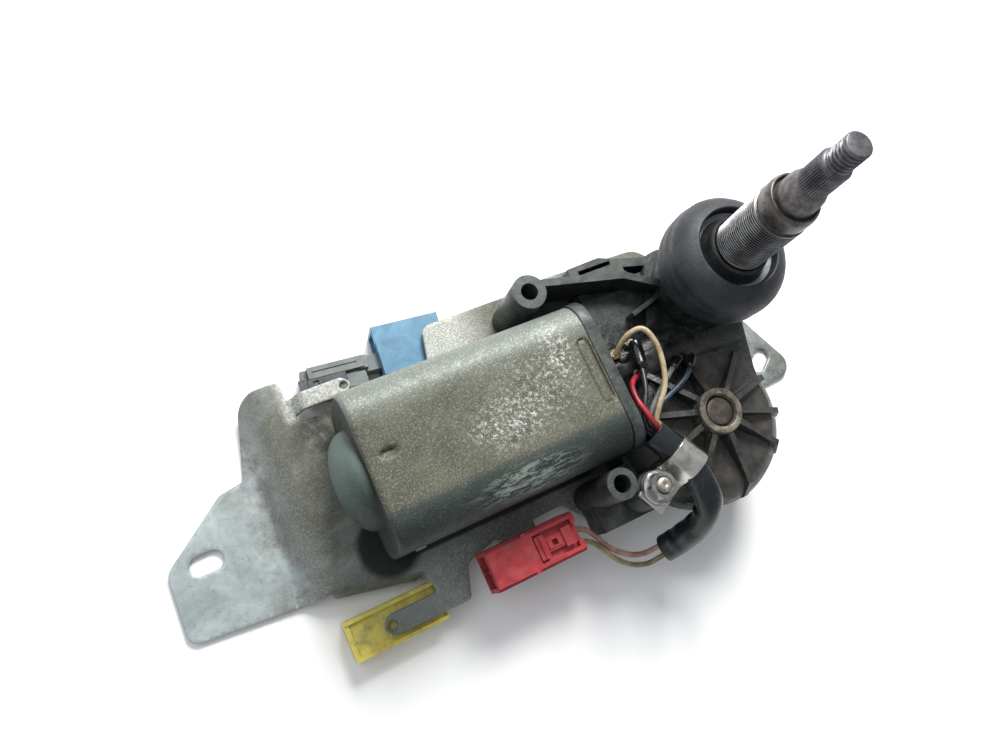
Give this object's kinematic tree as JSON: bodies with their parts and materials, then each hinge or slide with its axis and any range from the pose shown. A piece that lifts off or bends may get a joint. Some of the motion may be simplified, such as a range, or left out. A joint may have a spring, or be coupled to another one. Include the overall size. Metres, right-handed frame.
{
  "type": "rear wiper motor",
  "caption": "Rear wiper motor on a sheet steel bracket: flat-sided can, worm gearbox, oscillating spindle with threaded sleeve and rubber grommet, harness and connectors",
  "frame": {"origin": "bottom centre of the whole part; the bracket ears rest on z = 0", "axes": "+X along the motor from its bearing end to the gearbox, +Z along the spindle towards its tip, +Y to the side of the spindle away from the worm wheel"},
  "size_m": [0.2494, 0.1188, 0.13],
  "materials": {
    "bracket_zinc": "zinc plated, dusty and worn",
    "can_steel": "passivated steel with rubbed white patches",
    "magnet": "sintered ferrite, matt",
    "bronze": "oil-filled sintered bronze",
    "black_plastic": "glass-filled plastic, dusty and greasy",
    "carbon": "carbon brush",
    "spring_steel": "bright",
    "cover_plastic": "matt",
    "bright_steel": "bright zinc plate",
    "sleeve_steel": "worn bright thread",
    "dark_steel": "dark, slightly rusty",
    "seal_rubber": "black",
    "grommet_rubber": "matt charcoal",
    "hub_steel": "dull, brown dust",
    "contact_brass": "dull",
    "terminal_metal": "soldered, dirty",
    "sleeve_rubber": "soft black sleeving with a blue sheen",
    "wire_beige": "satin",
    "wire_red": "satin",
    "wire_grey": "satin",
    "wire_blue": "satin",
    "wire_black": "satin",
    "wire_pink": "dusty",
    "wire_olive": "dusty",
    "plastic_red": "scuffed",
    "plastic_yellow": "translucent, dirty",
    "plastic_blue": "semi-matt",
    "plastic_grey": "dusty",
    "core_steel": "laminated steel",
    "copper_wire": "enamelled copper",
    "commutator_copper": "worn copper",
    "worm_steel": "rolled",
    "gear_plastic": "natural acetal, greasy",
    "link_steel": "stamped"
  },
  "bodies": {
    "motor_base": {"mounting_bracket": "bracket_zinc", "motor_can": "can_steel", "field_magnets": "magnet", "rear_bearing_bush": "bronze", "brush_plate": "black_plastic", "carbon_brushes": "carbon", "brush_springs": "spring_steel", "gear_housing": "black_plastic", "housing_cover": "cover_plastic", "cover_screws": "bright_steel", "bracket_screws": "bright_steel", "front_bearing_bush": "bronze", "spindle_sleeve": "sleeve_steel", "spindle_bushes": "bronze", "spindle_seal": "seal_rubber", "rubber_grommet": "grommet_rubber", "hub_ring": "hub_steel", "wheel_axle": "dark_steel", "park_contacts": "contact_brass", "motor_terminals": "terminal_metal", "harness_clip": "bright_steel", "clip_stud": "hub_steel", "clip_washer": "bright_steel", "clip_nut": "bright_steel", "harness_sleeve": "sleeve_rubber", "beige_wire": "wire_beige", "red_wire": "wire_red", "grey_wire": "wire_grey", "blue_wire": "wire_blue", "black_wire": "wire_black", "pink_wire": "wire_pink", "olive_wire": "wire_olive", "red_connector": "plastic_red", "red_latch": "plastic_red", "yellow_connector": "plastic_yellow", "blue_connector": "plastic_blue", "grey_connector": "plastic_grey", "grey_latch_bar": "plastic_grey", "connector_pins": "contact_brass"},
    "armature": {"armature_shaft": "link_steel", "armature_core": "core_steel", "armature_windings": "copper_wire", "commutator": "commutator_copper", "worm": "worm_steel"},
    "wheel": {"worm_wheel": "gear_plastic", "crank_pin": "link_steel", "park_disc": "contact_brass"},
    "spindle": {"output_spindle": "dark_steel", "spindle_lever": "link_steel", "link_pin": "link_steel"},
    "link": {"connecting_link": "link_steel"}
  },
  "joints": [
    {"name": "armature_spin", "type": "hinge", "parent": "motor_base", "child": "armature", "pos_m": [-0.00436, 0.00747, 0.03], "axis": [1, 0, 0], "continuous": true},
    {"name": "wheel_spin", "type": "hinge", "parent": "motor_base", "child": "wheel", "pos_m": [0.05814, -0.01953, 0.03], "axis": [0, 0, 1], "continuous": true},
    {"name": "spindle_swing", "type": "hinge", "parent": "motor_base", "child": "spindle", "pos_m": [0.07564, 0.02547, 0.06], "axis": [0, 0, 1], "range_deg": [-45, 45]},
    {"name": "link_pivot", "type": "hinge", "parent": "spindle", "child": "link", "pos_m": [0.06352, 0.03018, 0.021], "axis": [0, 0, 1], "range_deg": [-46, 46]}
  ],
  "couplings": [
    {"joint": "wheel_spin", "follows": "armature_spin", "ratio": 0.020833},
    {"joint": "link_pivot", "follows": "spindle_swing", "ratio": -1}
  ]
}
